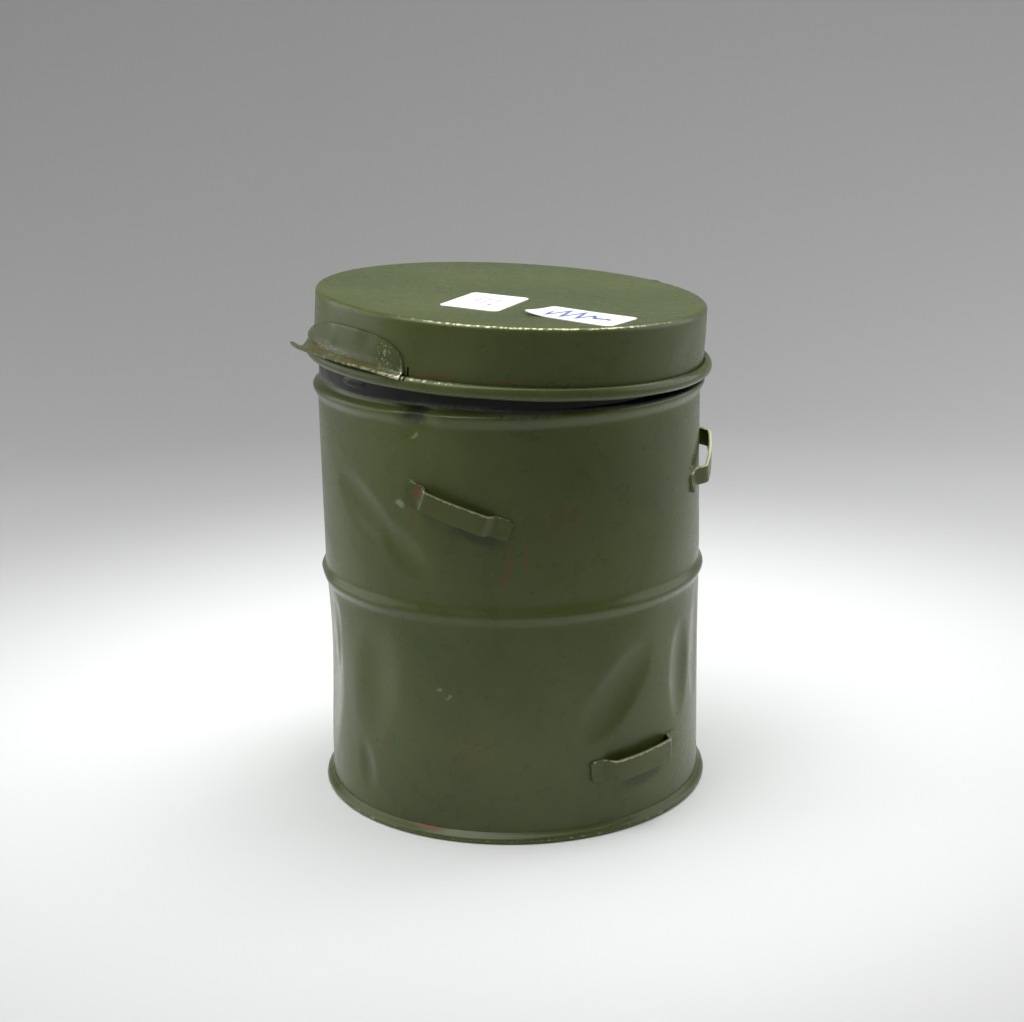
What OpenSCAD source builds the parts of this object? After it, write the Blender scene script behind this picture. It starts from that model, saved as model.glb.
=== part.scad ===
// Small sheet-steel slip-lid canister with three strap loops, lid resting crooked.
// Millimetres, +Z up. Origin: centre of the base rim, on the surface it stands on.
// -Y runs through the lower strap loop, which is the front; -X is the tab's side.
// Azimuths are counted from -Y towards +X.

/* [Body] */
// outside diameter of the plain body
body_d = 125; // [80:1:200]
// thickness of the sheet steel of body, base and lid
sheet = 0.6; // [0.4:0.1:1.2]
// height of the mouth above the surface it stands on
mouth_z = 156; // [120:1:220]
// outside diameter of the neck that the lid slips over
neck_d = 122.8; // [78:0.2:196]
// radius of the curled edge at the mouth
mouth_curl_r = 1.0; // [0.6:0.1:2]

/* [Stiffening beads] */
// height of the middle of the bead around the body's waist
waist_bead_z = 74.75; // [40:0.25:110]
// half the height of that bead
waist_bead_half = 3.55; // [1:0.05:8]
// how far that bead stands out from the body
waist_bead_out = 1.4; // [0.4:0.1:4]
// height where the shoulder bead starts
shoulder_low_z = 133.2; // [90:0.1:200]
// height of the shoulder bead's crest
shoulder_crest_z = 137.3; // [92:0.1:204]
// height where the shoulder bead has run in to the neck
shoulder_top_z = 139.9; // [94:0.1:208]
// how far the shoulder bead stands out from the body
shoulder_out = 1.55; // [0.4:0.05:4]
// width of the lapped side seam at the back
seam_w = 6; // [3:0.5:12]
// how far the lapped seam stands out
seam_out = 0.35; // [0.1:0.05:0.8]

/* [Base] */
// radius of the folded base rim
rim_r = 65.06; // [42:0.02:104]
// height of the folded base rim
rim_h = 3.2; // [2:0.1:6]
// height of the underside of the recessed base disc
base_recess = 4.0; // [2:0.1:8]

/* [Neck band] */
// thickness of the black band around the neck
band_t = 0.6; // [0.3:0.05:1.5]
// height of the band's upper edge
band_top_z = 151.5; // [100:0.5:210]
// height of the band's lower edge, averaged around the neck
band_low_z = 139.4; // [96:0.1:205]
// slope of the band's lower edge, in degrees
band_slope = 1.7; // [0:0.1:4]
// length of the oval lug on the neck under the tab
lug_len = 12.5; // [4:0.5:20]
// height of that lug
lug_h = 3.8; // [2:0.1:8]
// how far the lug stands out from the band
lug_out = 0.55; // [0.2:0.05:1.5]
// height of the lug's middle
lug_z = 144.2; // [100:0.1:210]
// azimuth of the lug
lug_az = -90; // [-180:1:180]

/* [Strap loops] */
// width of the strip the upper loops are bent from
strip_w = 6.3; // [4:0.1:14]
// width of the strip the lower loop is bent from
lower_strip_w = 6.8; // [4:0.1:14]
// thickness of that strip
strip_t = 0.9; // [0.5:0.1:2]
// gap for the strap between strip and body
strap_gap = 3.1; // [2:0.1:6]
// half the length of an upper loop from end to end
upper_half = 17.8; // [12:0.1:30]
// half the length of the lower loop
lower_half = 18.6; // [12:0.1:30]
// half the length of the upper loops' raised middle
upper_flat = 9.8; // [5:0.1:20]
// half the length of the lower loop's raised middle
lower_flat = 11.2; // [5:0.1:20]
// length over which a strip comes in from its raised middle to the body
strip_step = 2.6; // [1.5:0.1:6]
// azimuth of the upper left loop
upper_left_az = -55; // [-90:1:-30]
// azimuth of the upper right loop
upper_right_az = 43; // [30:1:90]
// height of the middle of the upper left loop
upper_left_z = 108.2; // [60:0.1:140]
// height of the middle of the upper right loop
upper_right_z = 111.5; // [60:0.1:140]
// slant of the upper loops, falling towards the front
upper_slant = 19.5; // [0:0.5:45]
// height of the middle of the lower loop
lower_z = 22.1; // [10:0.1:60]
// slant of the lower loop, rising towards the right
lower_slant = 2.5; // [0:0.5:45]

/* [Lid] */
// height of the middle of the lid's lower edge, as it rests
lid_z = 144; // [100:0.5:210]
// how far the lid leans from level
lid_tilt = 3.68; // [0:0.01:6]
// azimuth of the lid's low side
lid_low_az = 45.4; // [-180:0.1:180]
// height of the lid from its lower edge to its top face
lid_h = 21.15; // [10:0.05:40]
// outside radius of the lid's skirt
skirt_r = 63.5; // [42:0.1:102]
// half the width of the wired edge, measured across
edge_half_w = 1.7; // [1:0.05:3]
// half the height of the wired edge
edge_half_h = 2.05; // [1:0.05:4]
// height of the middle of the wired edge above the lid's lower edge
edge_mid = 1.55; // [1:0.05:4]
// radius of the wire inside the edge
wire_r = 0.8; // [0.4:0.05:1.5]
// depth of the lid disc's turned-down flange
flange_h = 4.6; // [2:0.1:8]
// radius that the lid's upper edge is rounded to
lid_round = 1.6; // [1:0.1:2.5]

/* [Lid tab] */
// azimuth of the middle of the tab
tab_az = -95.4; // [-180:0.1:180]
// angle the tab spans
tab_span = 52; // [20:1:90]
// height of the crown of the tab's upper edge above the lid's lower edge
tab_top = 14.9; // [8:0.05:20]
// how far that crown lies from the middle of the tab
tab_crown = 7.1; // [-12:0.1:12]
// how far the upper edge has fallen at the far end of the tab
tab_fall = 7; // [0:0.1:10]
// thickness of the tab's plate
tab_t = 0.8; // [0.4:0.1:1.6]
// radius of the lip's outer edge, a circle set off from the lid's axis
lip_r = 65.6; // [42:0.1:106]
// how far that circle is set off
lip_off = 6.4; // [0:0.1:10]
// azimuth towards which it is set off
lip_off_az = -149; // [-180:1:180]

/* [Labels] */
// length of the two stick-on labels
label_l = 30.2; // [15:0.1:50]
// width of the labels
label_w = 19.4; // [10:0.1:40]
// thickness of the labels
label_t = 0.2; // [0.1:0.05:0.5]
// radius of the labels' corners
label_corner = 2.2; // [0.5:0.1:5]
// length of the end of the marked label that has come unstuck
curl_l = 4.5; // [1:0.5:8]
// how far that end has lifted, in degrees
curl_deg = 16; // [0:1:40]

/* [Hidden] */
R = body_d / 2;
NR = neck_d / 2;
band_r = NR + band_t;
inner_r = R - sheet;
skirt_in = skirt_r - sheet;
edge_r = skirt_in + edge_half_w;
edge_top = edge_mid + edge_half_h;
// angle on the rounded upper edge where the skirt ends and the disc begins
lid_seam = acos((lid_round - sheet) / lid_round);
// half the length of the tab, measured straight across
tab_half = (skirt_r + tab_t) * sin(tab_span / 2);
eps = 0.01;
// how far a foot reaches into the body before it is cut to the body's curve
foot_cut = 0.6;
$fn = 128;

olive = [0.30, 0.33, 0.20];
black = [0.06, 0.06, 0.06];
steel = [0.62, 0.62, 0.60];
paper = [0.93, 0.93, 0.90];

// cosine half wave from 0 at u = 0 to 1 at u = 1
function ease(u) = u <= 0 ? 0 : u >= 1 ? 1 : (1 - cos(180 * u)) / 2;

// outside radius of the body at height z
function waist(z) = waist_bead_out * ease(1 - abs(z - waist_bead_z) / waist_bead_half);
function body_r(z) =
    z <= shoulder_crest_z
    ? R + waist(z) + shoulder_out * ease((z - shoulder_low_z) / (shoulder_crest_z - shoulder_low_z))
    : NR + (R + shoulder_out - NR)
      * ease((shoulder_top_z - z) / (shoulder_top_z - shoulder_crest_z));

// slope of that outline, and the point a distance t inside it
function body_slope(z) = (body_r(z + 0.02) - body_r(z - 0.02)) / 0.04;
function inset(z, t) =
    let (s = body_slope(z), n = sqrt(1 + s * s))
    [body_r(z) - t / n, z + t * s / n];

body_zs = concat(
    [0.8],
    [for (i = [0 : 14]) waist_bead_z - waist_bead_half + i * waist_bead_half / 7],
    [for (i = [0 : 8]) shoulder_low_z + i * (shoulder_crest_z - shoulder_low_z) / 8],
    [for (i = [1 : 8]) shoulder_crest_z + i * (shoulder_top_z - shoulder_crest_z) / 8],
    [mouth_z - mouth_curl_r]);

module ring(profile_pts) {
    rotate_extrude() polygon(profile_pts);
}

// puts a piece built at the front onto azimuth a
module at_az(a) {
    rotate([0, 0, a]) children();
}

// carries the lid's own frame to where the crooked lid rests
module lid_place() {
    translate([0, 0, lid_z])
        rotate(a = lid_tilt, v = [cos(lid_low_az), sin(lid_low_az), 0])
            children();
}

// recessed base disc with its wall and the folded rim around the body's lower edge
module base_pan() {
    color(olive) ring([
        [0, base_recess], [43.5, base_recess], [44.6, base_recess + 0.8],
        [46.4, base_recess + 0.8], [47.5, base_recess],
        [inner_r - sheet - 0.4, base_recess], [inner_r - sheet, base_recess - 0.4],
        [inner_r - sheet, 0.5], [inner_r - sheet + 0.5, 0],
        [rim_r - 0.66, 0], [rim_r - 0.16, 0.3], [rim_r, 0.8],
        [rim_r - 0.66, 1.84], [rim_r - 1.8, 2.6], [R, rim_h],
        [R, 0.8], [inner_r, 0.8],
        [inner_r, base_recess + 0.1], [inner_r - 0.5, base_recess + sheet],
        [47.7, base_recess + sheet], [46.6, base_recess + sheet + 0.8],
        [44.4, base_recess + sheet + 0.8], [43.3, base_recess + sheet],
        [0, base_recess + sheet]]);
}

// body, beads, shoulder and neck in one drawn wall, with a curled mouth
module body_shell() {
    color(olive) {
        rotate_extrude() {
            polygon(concat(
                [for (z = body_zs) [body_r(z), z]],
                [for (i = [len(body_zs) - 1 : -1 : 1]) inset(body_zs[i], sheet)],
                [[inner_r, 0.8]]));
            translate([NR - mouth_curl_r, mouth_z - mouth_curl_r])
                circle(r = mouth_curl_r, $fn = 32);
        }
        side_seam();
    }
}

// the lapped seam shows as a shallow raised strip between the base and the shoulder
module side_seam() {
    intersection() {
        rotate_extrude() translate([R - 0.3, 6])
            square([0.3 + seam_out, shoulder_low_z - 8]);
        translate([-seam_w / 2, R - 10, 0]) cube([seam_w, 20, mouth_z]);
    }
}

// black band laid around the neck, its lower edge running a little out of level
module seal_band() {
    zs = concat([for (i = [4 : 8])
                    shoulder_crest_z + i * (shoulder_top_z - shoulder_crest_z) / 8],
                [band_top_z]);
    color(black) difference() {
        ring(concat(
            [for (z = zs) [max(body_r(z) + 0.35, band_r), z]],
            [for (i = [len(zs) - 1 : -1 : 0]) [body_r(zs[i]), zs[i]]]));
        translate([0, 0, band_low_z])
            rotate(a = band_slope, v = [cos(lid_low_az), sin(lid_low_az), 0])
                translate([0, 0, -20]) cylinder(r = R + 20, h = 20);
    }
}

// oval lug on the neck, just below the tab
module neck_lug() {
    color(black) at_az(lug_az) difference() {
        intersection() {
            translate([0, 0, lug_z]) rotate([90, 0, 0])
                linear_extrude(height = R + 10)
                    scale([lug_len / lug_h, 1]) circle(d = lug_h, $fn = 48);
            cylinder(r = band_r + lug_out, h = mouth_z);
        }
        translate([0, 0, -1]) cylinder(r = band_r, h = mouth_z + 2);
    }
}

// how far the strip stands off the body at distance x from the loop's middle
function strip_off(x, flat) = strap_gap * ease((flat + strip_step - abs(x)) / strip_step);

// strip bent out over a strap gap, its two feet lying on the body
module strap_loop(az, z, slant, half, flat, w) {
    foot = flat + strip_step;
    xs = concat(
        [for (i = [0 : 2]) -half + i * (half - foot) / 3],
        [for (i = [0 : 7]) -foot + i * strip_step / 8],
        [for (i = [0 : 12]) -flat + i * flat / 6],
        [for (i = [1 : 8]) flat + i * strip_step / 8],
        [for (i = [1 : 3]) foot + i * (half - foot) / 3]);
    wall = [for (x = xs) sqrt(pow(R, 2) - pow(x * cos(slant), 2)) + strip_off(x, flat)];
    last = len(xs) - 1;
    color(olive) at_az(az) difference() {
        translate([0, 0, z]) rotate([0, slant, 0])
            translate([0, 0, -w / 2]) linear_extrude(height = w)
                polygon(concat(
                    [for (i = [0 : last]) [xs[i], -wall[i] - strip_t]],
                    [for (i = [last : -1 : 0])
                        [xs[i], -wall[i] + (abs(xs[i]) > foot - eps ? foot_cut : 0)]]));
        translate([0, 0, z - 25]) cylinder(r = R, h = 50);
    }
}

module strap_loop_upper_left() {
    strap_loop(upper_left_az, upper_left_z, upper_slant, upper_half, upper_flat, strip_w);
}

module strap_loop_upper_right() {
    strap_loop(upper_right_az, upper_right_z, -upper_slant, upper_half, upper_flat, strip_w);
}

module strap_loop_lower() {
    strap_loop(0, lower_z, -lower_slant, lower_half, lower_flat, lower_strip_w);
}

// oval outline of the wired edge, k being the sheet taken off it
module edge_oval(k) {
    translate([edge_r, edge_mid])
        scale([edge_half_w - k, edge_half_h - k]) circle(r = 1, $fn = 40);
}

// points along the lid's rounded upper edge, between two angles up from level
function lid_rounding(from, to) =
    [for (i = [0 : 6]) let (a = from + i * (to - from) / 6)
        [skirt_r - lid_round + lid_round * cos(a), lid_h - lid_round + lid_round * sin(a)]];

// skirt with its lower edge rolled outwards around the wire
module lid_skirt() {
    color(olive) lid_place() difference() {
        rotate_extrude() difference() {
            union() {
                polygon(concat([[skirt_in, edge_mid], [skirt_r, edge_mid]],
                               lid_rounding(0, lid_seam)));
                edge_oval(0);
            }
            edge_oval(sheet);
            translate([skirt_r + 0.02, edge_mid + 0.7]) square([0.28, 2]);
        }
        at_az(tab_az + tab_span / 2 + 1.2) translate([-0.3, -skirt_r - 5, edge_mid + 0.9])
            cube([0.6, 5.8, 3.9]);
    }
}

// lid disc with a turned-down flange that sits inside the skirt
module lid_top() {
    color(olive) lid_place() ring(concat([
        [0, lid_h - sheet], [skirt_in - sheet - 0.3, lid_h - sheet],
        [skirt_in - sheet, lid_h - sheet - 0.3], [skirt_in - sheet, lid_h - flange_h],
        [skirt_in, lid_h - flange_h]],
        lid_rounding(lid_seam, 90), [[0, lid_h]]));
}

// wire ring lying in the rolled edge
module lid_rim_wire() {
    color(steel) lid_place() rotate_extrude()
        translate([edge_r, edge_mid]) circle(r = wire_r, $fn = 24);
}

// height of the tab's upper edge at x, an arch that falls slowly to the far end
function tab_edge(x) = x < tab_crown
    ? tab_top - tab_fall * pow((tab_crown - x) / (tab_half + tab_crown), 2)
    : edge_top + 1 + (tab_top - edge_top - 1)
      * pow(max(0, 1 - pow((x - tab_crown) / (tab_half - tab_crown), 2.6)), 1 / 2.6);

// outline of the tab's plate seen along its radius
module tab_outline() {
    polygon(concat(
        [[-tab_half - 9, 0], [tab_half + 9, 0], [tab_half + 9, edge_top + 1]],
        [for (i = [16 : -1 : 0])
            let (x = tab_crown + (tab_half - tab_crown) * sin(i * 90 / 16)) [x, tab_edge(x)]],
        [for (i = [1 : 12])
            let (x = tab_crown - i * (tab_half + tab_crown) / 12) [x, tab_edge(x)]],
        [[-tab_half - 9, tab_edge(-tab_half)]]));
}

// revolves a profile over the tab's span
module tab_turn(profile_pts) {
    rotate([0, 0, tab_az - tab_span / 2 - 90])
        rotate_extrude(angle = tab_span) polygon(profile_pts);
}

// curved plate on the skirt, its lower edge flared out as a lip over the wired edge
module lid_tab() {
    a = skirt_r;
    b = skirt_r + tab_t;
    z0 = edge_top + 0.25;
    color(olive) lid_place() {
        intersection() {
            tab_turn([[a, z0], [b, z0], [b, tab_top], [a, tab_top]]);
            at_az(tab_az) rotate([90, 0, 0]) linear_extrude(height = R + 20) tab_outline();
        }
        intersection() {
            tab_turn([[b, z0], [b + 0.9, z0 + 0.1], [b + 9, z0 + 0.75],
                      [b + 9, z0 + 1.35], [b + 0.9, z0 + 0.9], [b, z0 + 1.35]]);
            at_az(lip_off_az) translate([0, -lip_off, 0]) cylinder(r = lip_r, h = lid_h);
        }
    }
}

// outline of a label, cut from x0 to x1 along its length
module label_outline(x0, x1) {
    c = label_corner;
    intersection() {
        polygon([for (q = [[1, 1, 0], [-1, 1, 90], [-1, -1, 180], [1, -1, 270]])
            for (i = [0 : 6])
                [q[0] * (label_l / 2 - c) + c * cos(q[2] + i * 15),
                 q[1] * (label_w / 2 - c) + c * sin(q[2] + i * 15)]]);
        translate([x0, -label_w]) square([x1 - x0, 2 * label_w]);
    }
}

// label lying flat on the lid
module label_plain() {
    color(paper) lid_place()
        translate([-20, -11, lid_h]) rotate([0, 0, 29.6])
            linear_extrude(height = label_t) label_outline(-label_l, label_l);
}

// the second label, one end of which has lifted off the lid
module label_marked() {
    xc = -label_l / 2 + curl_l;
    color(paper) lid_place()
        translate([-8.7, -43.6, lid_h]) rotate([0, 0, -70.4]) {
            linear_extrude(height = label_t) label_outline(xc, label_l);
            translate([xc, 0, 0]) rotate([0, curl_deg, 0]) translate([-xc, 0, 0])
                linear_extrude(height = label_t) label_outline(-label_l, xc);
        }
}

base_pan();
body_shell();
seal_band();
neck_lug();
strap_loop_upper_left();
strap_loop_upper_right();
strap_loop_lower();
lid_skirt();
lid_top();
lid_rim_wire();
lid_tab();
label_plain();
label_marked();
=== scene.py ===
from math import acos, cos, degrees, pi, radians, sin

import bpy
import numpy as np
from mathutils import Matrix, Vector


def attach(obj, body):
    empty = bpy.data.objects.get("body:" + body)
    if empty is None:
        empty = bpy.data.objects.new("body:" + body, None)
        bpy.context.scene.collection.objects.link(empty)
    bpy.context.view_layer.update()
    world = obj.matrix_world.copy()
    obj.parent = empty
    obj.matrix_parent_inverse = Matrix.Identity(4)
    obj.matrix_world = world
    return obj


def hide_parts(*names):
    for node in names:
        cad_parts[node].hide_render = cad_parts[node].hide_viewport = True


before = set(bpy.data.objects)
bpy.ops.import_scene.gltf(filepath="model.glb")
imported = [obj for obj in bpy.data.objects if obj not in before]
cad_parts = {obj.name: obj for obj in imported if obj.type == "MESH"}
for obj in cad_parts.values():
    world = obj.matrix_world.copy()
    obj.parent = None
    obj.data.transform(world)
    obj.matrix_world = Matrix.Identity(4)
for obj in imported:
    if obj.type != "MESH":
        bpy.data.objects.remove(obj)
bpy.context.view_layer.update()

# --- Base pan ------------------------------------------------------------------
# The base is a disc of thin sheet steel, set up inside the wall and pressed with a ring.
# Its edge is folded out and back over the body's lower edge, which makes the rim that
# the canister stands on. It is dipped in the same olive enamel as the body.
MM = 0.001
BODY_R = 62.5
SHEET = 0.6
INNER_R = BODY_R - SHEET
RIM_R = 65.06
RIM_TOP = 3.2
RECESS = 4.0
AROUND = 320
ENAMEL_IOR = 1.42


def turned(name, outline, steps=AROUND, start=0.0, angle=360.0):
    """Walks one point round an outline of radii and heights in mm, and spins it upright."""
    bpy.ops.object.select_all(action="DESELECT")
    bpy.ops.mesh.primitive_plane_add(size=MM)
    piece = bpy.context.active_object
    piece.name = piece.data.name = name
    bpy.ops.object.mode_set(mode="EDIT")
    bpy.ops.mesh.merge(type="CENTER")
    to = Matrix.Rotation(radians(start), 3, "Z")
    spots = [to @ Vector((0, -r, z)) * MM for r, z in outline]
    bpy.ops.transform.translate(value=spots[0])
    for a, b in zip(spots, spots[1:]):
        bpy.ops.mesh.extrude_vertices_move(TRANSFORM_OT_translate={"value": b - a})
    bpy.ops.mesh.select_all(action="SELECT")
    bpy.ops.mesh.spin(steps=steps, angle=radians(angle), center=(0, 0, 0), axis=(0, 0, -1))
    bpy.ops.mesh.select_all(action="SELECT")
    bpy.ops.mesh.remove_doubles(threshold=0.002 * MM)
    bpy.ops.mesh.normals_make_consistent(inside=False)
    bpy.ops.object.mode_set(mode="OBJECT")
    return piece


def read_points(piece):
    """The piece's vertices in mm."""
    flat = np.empty(len(piece.data.vertices) * 3)
    piece.data.vertices.foreach_get("co", flat)
    return flat.reshape(-1, 3) / MM


def write_points(piece, points):
    piece.data.vertices.foreach_set("co", (points * MM).ravel())
    piece.data.update()


def polar(points):
    """Radius, azimuth in degrees counted from the front towards the right, and height."""
    x, y, z = points.T
    return np.hypot(x, y), np.degrees(np.arctan2(x, -y)), z


def unpolar(radius, azimuth, height):
    a = np.radians(azimuth)
    return np.column_stack([radius * np.sin(a), -radius * np.cos(a), height])


def ramp(value, low, high):
    """Smooth step from 0 at low to 1 at high."""
    t = np.clip((value - low) / (high - low), 0, 1)
    return t * t * (3 - 2 * t)


def wave(azimuth, *terms):
    """A slow unevenness round the axis: terms are lobes, phase and height."""
    return sum(h * np.sin(np.radians(n * azimuth + p)) for n, p, h in terms)


def mark_wear_and_sheen(piece, amount):
    """Stores how far each vertex's paint is rubbed, and where its edges are painted pale as a
    highlight, for the enamel to read.
    """
    layer = piece.data.attributes.new("wear_and_sheen", "FLOAT", "POINT")
    layer.data.foreach_set("value", np.clip(amount, 0, 1))


def smooth(piece, angle=34):
    bpy.ops.object.select_all(action="DESELECT")
    piece.select_set(True)
    bpy.context.view_layer.objects.active = piece
    bpy.ops.object.shade_smooth_by_angle(angle=radians(angle))


def finish(piece, material, body, node, angle=34):
    """Smooths a piece, paints it, and lets it ride in place of its CAD node."""
    smooth(piece, angle)
    piece.data.materials.clear()
    piece.data.materials.append(material)
    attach(piece, body)
    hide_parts(node)


def thicken(piece, gauge, rounded=0.0):
    """Gives a sheet its thickness on its outer side, in mm, and rounds its cut edges."""
    bpy.ops.object.select_all(action="DESELECT")
    piece.select_set(True)
    bpy.context.view_layer.objects.active = piece
    wall = piece.modifiers.new("gauge", "SOLIDIFY")
    wall.thickness = gauge * MM
    wall.offset = 1
    wall.use_even_offset = rounded > 0
    bpy.ops.object.modifier_apply(modifier="gauge")
    if rounded:
        edges = piece.modifiers.new("rounding", "BEVEL")
        edges.width = rounded * MM
        edges.segments = 3
        edges.limit_method = "ANGLE"
        edges.angle_limit = radians(50)
        bpy.ops.object.modifier_apply(modifier="rounding")


def linear(code):
    """A colour given as an sRGB hex code, made linear."""
    parts = [int(code[i : i + 2], 16) / 255 for i in (1, 3, 5)]
    return [c / 12.92 if c <= 0.04045 else ((c + 0.055) / 1.055) ** 2.4 for c in parts] + [1]


def add(material, kind, inputs=None, **settings):
    """Adds a node. A value in inputs sets that socket, and an output is linked to it."""
    tree = material.node_tree
    made = tree.nodes.new("ShaderNode" + kind)
    for setting, value in settings.items():
        setattr(made, setting, value)
    for socket, value in (inputs or {}).items():
        if isinstance(value, bpy.types.NodeSocket):
            tree.links.new(value, made.inputs[socket])
        else:
            made.inputs[socket].default_value = value
    return made


def connect(material, socket, output):
    """Links an output to one of the shader's own sockets."""
    shader = material.node_tree.nodes["Principled BSDF"]
    material.node_tree.links.new(output, shader.inputs[socket])


def lay_over(material, mask, colour, rough=None):
    """Lays a colour, and a roughness, over what the finish already has, by a mask."""
    shader = material.node_tree.nodes["Principled BSDF"]
    below = shader.inputs["Base Color"].links[0].from_socket
    mixed = add(material, "Mix", {0: mask, 6: below, 7: linear(colour)}, data_type="RGBA")
    connect(material, "Base Color", mixed.outputs[2])
    if rough is not None:
        below = shader.inputs["Roughness"].links[0].from_socket
        mixed = add(material, "Mix", {0: mask, 2: below, 3: rough})
        connect(material, "Roughness", mixed.outputs[0])


def olive_enamel(name, seed=0.0):
    """Olive-drab enamel sprayed on sheet steel, semi-gloss, a little uneven in its film.
    To the eye: a deep green-brown that turns pale at grazing angles, soft mottling, faint
    orange peel, and bright metal where edges are rubbed through."""
    made = bpy.data.materials.new(name)
    made.use_nodes = True
    shader = made.node_tree.nodes["Principled BSDF"]
    shader.inputs["IOR"].default_value = ENAMEL_IOR
    place = add(made, "TexCoord").outputs["Object"]
    moved = add(made, "VectorMath", {0: place, 1: (seed, seed, seed)}).outputs[0]
    # film thickness drifts over some 40 mm, and brush and spray mottling over some 5 mm
    drift = add(made, "TexNoise", {"Vector": moved, "Scale": 24, "Detail": 2.0}).outputs[0]
    drift = add(made, "MapRange", {0: drift, 1: 0.3, 2: 0.7}).outputs[0]
    base = add(
        made, "Mix", {0: drift, 6: linear("#3E4821"), 7: linear("#4C5628")}, data_type="RGBA"
    ).outputs[2]
    mottle = add(
        made, "TexNoise", {"Vector": moved, "Scale": 150, "Detail": 1.5, "Roughness": 0.5}
    ).outputs[0]
    soft = add(made, "MapRange", {0: mottle, 1: 0.25, 2: 0.8, 4: 0.2}).outputs[0]
    base = add(made, "Mix", {0: soft, 6: base, 7: linear("#5D6636")}, data_type="RGBA").outputs[2]
    connect(made, "Base Color", base)
    gloss = add(made, "MapRange", {0: mottle, 1: 0.2, 2: 0.8, 3: 0.24, 4: 0.34}).outputs[0]
    connect(made, "Roughness", gloss)
    # pinprick chips down to red primer, about 1 mm, only a few of them
    chips = add(made, "TexNoise", {"Vector": moved, "Scale": 520, "Detail": 1.0}).outputs[0]
    chips = add(made, "MapRange", {0: chips, 1: 0.79, 2: 0.82}).outputs[0]
    lay_over(made, chips, "#6E4A2C", 0.7)
    # rubbed edges, and edges painted pale as highlights: grain of about 1 mm breaks the line of
    # bare steel
    wear_and_sheen = add(made, "Attribute", attribute_name="wear_and_sheen").outputs["Fac"]
    grain = add(made, "TexNoise", {"Vector": moved, "Scale": 850, "Detail": 3.0}).outputs[0]
    bare = add(made, "Math", {0: wear_and_sheen, 1: grain}, operation="ADD").outputs[0]
    bare = add(made, "MapRange", {0: bare, 1: 1.02, 2: 1.22}, interpolation_type="SMOOTHSTEP")
    bare = bare.outputs[0]
    lay_over(made, bare, "#ADAB8A", 0.36)
    metal = add(made, "Math", {0: bare, 1: 0.65}, operation="MULTIPLY").outputs[0]
    connect(made, "Metallic", metal)
    # orange peel is really under 1 mm; drawn near 2 mm so that it shows
    peel = add(made, "TexNoise", {"Vector": moved, "Scale": 480, "Detail": 2.0}).outputs[0]
    height = add(made, "Math", {0: peel, 1: mottle}, operation="ADD").outputs[0]
    height = add(made, "Math", {0: height, 1: bare}, operation="SUBTRACT").outputs[0]
    bump = add(made, "Bump", {"Strength": 0.12, "Distance": 0.04 * MM, "Height": height})
    connect(made, "Normal", bump.outputs[0])
    return made


def patch(material, azimuth, height, half_size, lean=0.0, radius=BODY_R, ragged=1.2):
    """Mask of an oval mark on a round wall, 1 in its middle, its edge broken over a few mm."""
    place = add(material, "TexCoord").outputs["Object"]
    noise = add(material, "TexNoise", {"Vector": place, "Scale": 420, "Detail": 2.0}).outputs[1]
    noise = add(material, "VectorMath", {0: noise, 1: (0.5, 0.5, 0.5)}, operation="SUBTRACT")
    reach = 2 * ragged * MM
    noise = add(
        material, "VectorMath", {0: noise.outputs[0], 1: (reach,) * 3}, operation="MULTIPLY"
    )
    place = add(material, "VectorMath", {0: place, 1: noise.outputs[0]}).outputs[0]
    middle = Matrix.Rotation(radians(azimuth), 3, "Z") @ Vector((0, -radius, height)) * MM
    width, tall = half_size
    local = add(
        material,
        "Mapping",
        {
            "Vector": place,
            "Location": middle,
            "Rotation": (0, radians(lean), radians(azimuth)),
            "Scale": (width * MM, 9 * MM, tall * MM),
        },
        vector_type="TEXTURE",
    ).outputs[0]
    far = add(material, "VectorMath", {0: local}, operation="LENGTH").outputs["Value"]
    return add(
        material, "MapRange", {0: far, 1: 1.0, 2: 0.35}, interpolation_type="SMOOTHSTEP"
    ).outputs[0]


def weaker(material, mask, share):
    return add(material, "Math", {0: mask, 1: share}, operation="MULTIPLY").outputs[0]


base_outline = (
    [(0, RECESS), (20, RECESS), (43.2, RECESS), (44.0, 4.35), (44.9, 4.8), (46.1, 4.8)]
    + [(47.0, 4.35), (47.8, RECESS), (60.5, RECESS), (61.0, 3.85), (61.3, 3.4), (61.3, 0.7)]
    + [(61.42, 0.25), (61.8, 0), (64.0, 0), (64.55, 0.1), (64.9, 0.38), (RIM_R, 0.85)]
    + [(64.95, 1.3), (64.5, 1.84), (63.9, 2.22), (63.26, 2.6), (62.85, 3.0), (62.6, RIM_TOP)]
    + [(BODY_R, 3.1), (BODY_R, 0.8), (INNER_R, 0.8), (INNER_R, 4.2), (61.7, 4.5), (61.3, 4.6)]
    + [(48.0, 4.6), (47.0, 4.95), (46.1, 5.4), (44.9, 5.4), (43.9, 4.95), (42.9, 4.6), (0, 4.6)]
)
base_pan = turned("base_pan_pressed", base_outline)
radius, azimuth, height = polar(read_points(base_pan))
rim = ramp(radius, 62.6, 64.6)
radius = radius - rim * (0.12 + wave(azimuth, (3, 20, 0.07), (7, 80, 0.03), (13, 10, 0.02)))
write_points(base_pan, unpolar(radius, azimuth, height))
mark_wear_and_sheen(base_pan, 0.5 * rim * ramp(height, 0.1, 0.8) * ramp(height, 1.9, 1.2))
base_enamel = olive_enamel("olive_enamel_base", 0.31)
primer_line = patch(base_enamel, -66, 3.2, (9, 1.0), ragged=0.8)
lay_over(base_enamel, weaker(base_enamel, primer_line, 0.75), "#8A4A2E", 0.6)
finish(base_pan, base_enamel, "canister", "base_pan")

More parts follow.
